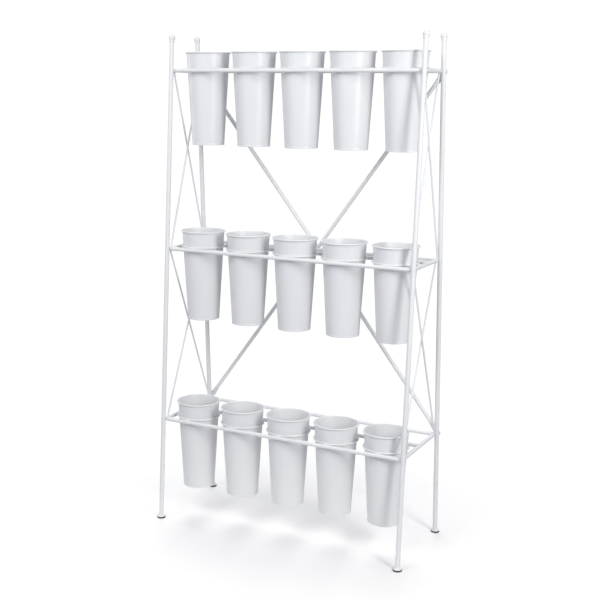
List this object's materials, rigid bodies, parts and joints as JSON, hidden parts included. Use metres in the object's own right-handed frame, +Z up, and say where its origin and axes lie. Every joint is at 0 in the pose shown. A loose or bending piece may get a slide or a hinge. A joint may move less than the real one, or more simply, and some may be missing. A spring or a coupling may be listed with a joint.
{
  "type": "flower stem rack",
  "caption": "Tiered white metal rack with leaning legs, wire rings holding tapered lift-out buckets, crossed side rods and a crossed back brace.",
  "frame": {"origin": "on the floor, under the middle of the rack", "axes": "+Z up, +X along the tiers to the right as the rack is faced, -Y towards the viewer, the side the buckets stand nearest to"},
  "size_m": [0.826, 0.342, 1.5],
  "materials": {
    "white_frame": "white powder coat with a soft sheen",
    "white_bucket": "white painted sheet steel, satin",
    "white_bolt": "white painted, satin",
    "black_rubber": "matte black rubber",
    "plated_steel": "zinc plated, dull"
  },
  "bodies": {
    "rack": {"front_left_leg": "white_frame", "front_left_finial": "white_frame", "front_left_foot_flange": "white_frame", "front_right_leg": "white_frame", "front_right_finial": "white_frame", "front_right_foot_flange": "white_frame", "back_left_leg": "white_frame", "back_left_finial": "white_frame", "back_left_foot_flange": "white_frame", "back_right_leg": "white_frame", "back_right_finial": "white_frame", "back_right_foot_flange": "white_frame", "foot_pads": "black_rubber", "bottom_tier_loop": "white_frame", "middle_tier_loop": "white_frame", "top_tier_loop": "white_frame", "bottom_tier_ring_rail": "white_frame", "middle_tier_ring_rail": "white_frame", "bottom_ring_1": "white_frame", "bottom_ring_2": "white_frame", "bottom_ring_3": "white_frame", "bottom_ring_4": "white_frame", "bottom_ring_5": "white_frame", "middle_ring_1": "white_frame", "middle_ring_2": "white_frame", "middle_ring_3": "white_frame", "middle_ring_4": "white_frame", "middle_ring_5": "white_frame", "top_ring_1": "white_frame", "top_ring_2": "white_frame", "top_ring_3": "white_frame", "top_ring_4": "white_frame", "top_ring_5": "white_frame", "left_lower_falling_rod": "white_frame", "left_lower_rising_rod": "white_frame", "left_upper_falling_rod": "white_frame", "left_upper_rising_rod": "white_frame", "right_lower_falling_rod": "white_frame", "right_lower_rising_rod": "white_frame", "right_upper_falling_rod": "white_frame", "right_upper_rising_rod": "white_frame", "falling_brace_tube": "white_frame", "rising_brace_tube": "white_frame", "brace_bolts": "white_bolt", "brace_rivet_nuts": "plated_steel"},
    "bottom_bucket_1": {"bottom_bucket_1": "white_bucket"},
    "bottom_bucket_2": {"bottom_bucket_2": "white_bucket"},
    "bottom_bucket_3": {"bottom_bucket_3": "white_bucket"},
    "bottom_bucket_4": {"bottom_bucket_4": "white_bucket"},
    "bottom_bucket_5": {"bottom_bucket_5": "white_bucket"},
    "middle_bucket_1": {"middle_bucket_1": "white_bucket"},
    "middle_bucket_2": {"middle_bucket_2": "white_bucket"},
    "middle_bucket_3": {"middle_bucket_3": "white_bucket"},
    "middle_bucket_4": {"middle_bucket_4": "white_bucket"},
    "middle_bucket_5": {"middle_bucket_5": "white_bucket"},
    "top_bucket_1": {"top_bucket_1": "white_bucket"},
    "top_bucket_2": {"top_bucket_2": "white_bucket"},
    "top_bucket_3": {"top_bucket_3": "white_bucket"},
    "top_bucket_4": {"top_bucket_4": "white_bucket"},
    "top_bucket_5": {"top_bucket_5": "white_bucket"}
  },
  "joints": [
    {"name": "bottom_bucket_1_lift", "type": "slide", "parent": "rack", "child": "bottom_bucket_1", "axis": [0, 0, 1], "range_m": [0, 0.24]},
    {"name": "bottom_bucket_2_lift", "type": "slide", "parent": "rack", "child": "bottom_bucket_2", "axis": [0, 0, 1], "range_m": [0, 0.24]},
    {"name": "bottom_bucket_3_lift", "type": "slide", "parent": "rack", "child": "bottom_bucket_3", "axis": [0, 0, 1], "range_m": [0, 0.24]},
    {"name": "bottom_bucket_4_lift", "type": "slide", "parent": "rack", "child": "bottom_bucket_4", "axis": [0, 0, 1], "range_m": [0, 0.24]},
    {"name": "bottom_bucket_5_lift", "type": "slide", "parent": "rack", "child": "bottom_bucket_5", "axis": [0, 0, 1], "range_m": [0, 0.24]},
    {"name": "middle_bucket_1_lift", "type": "slide", "parent": "rack", "child": "middle_bucket_1", "axis": [0, 0, 1], "range_m": [0, 0.24]},
    {"name": "middle_bucket_2_lift", "type": "slide", "parent": "rack", "child": "middle_bucket_2", "axis": [0, 0, 1], "range_m": [0, 0.24]},
    {"name": "middle_bucket_3_lift", "type": "slide", "parent": "rack", "child": "middle_bucket_3", "axis": [0, 0, 1], "range_m": [0, 0.24]},
    {"name": "middle_bucket_4_lift", "type": "slide", "parent": "rack", "child": "middle_bucket_4", "axis": [0, 0, 1], "range_m": [0, 0.24]},
    {"name": "middle_bucket_5_lift", "type": "slide", "parent": "rack", "child": "middle_bucket_5", "axis": [0, 0, 1], "range_m": [0, 0.24]},
    {"name": "top_bucket_1_lift", "type": "slide", "parent": "rack", "child": "top_bucket_1", "axis": [0, 0, 1], "range_m": [0, 0.26]},
    {"name": "top_bucket_2_lift", "type": "slide", "parent": "rack", "child": "top_bucket_2", "axis": [0, 0, 1], "range_m": [0, 0.26]},
    {"name": "top_bucket_3_lift", "type": "slide", "parent": "rack", "child": "top_bucket_3", "axis": [0, 0, 1], "range_m": [0, 0.26]},
    {"name": "top_bucket_4_lift", "type": "slide", "parent": "rack", "child": "top_bucket_4", "axis": [0, 0, 1], "range_m": [0, 0.26]},
    {"name": "top_bucket_5_lift", "type": "slide", "parent": "rack", "child": "top_bucket_5", "axis": [0, 0, 1], "range_m": [0, 0.26]}
  ]
}
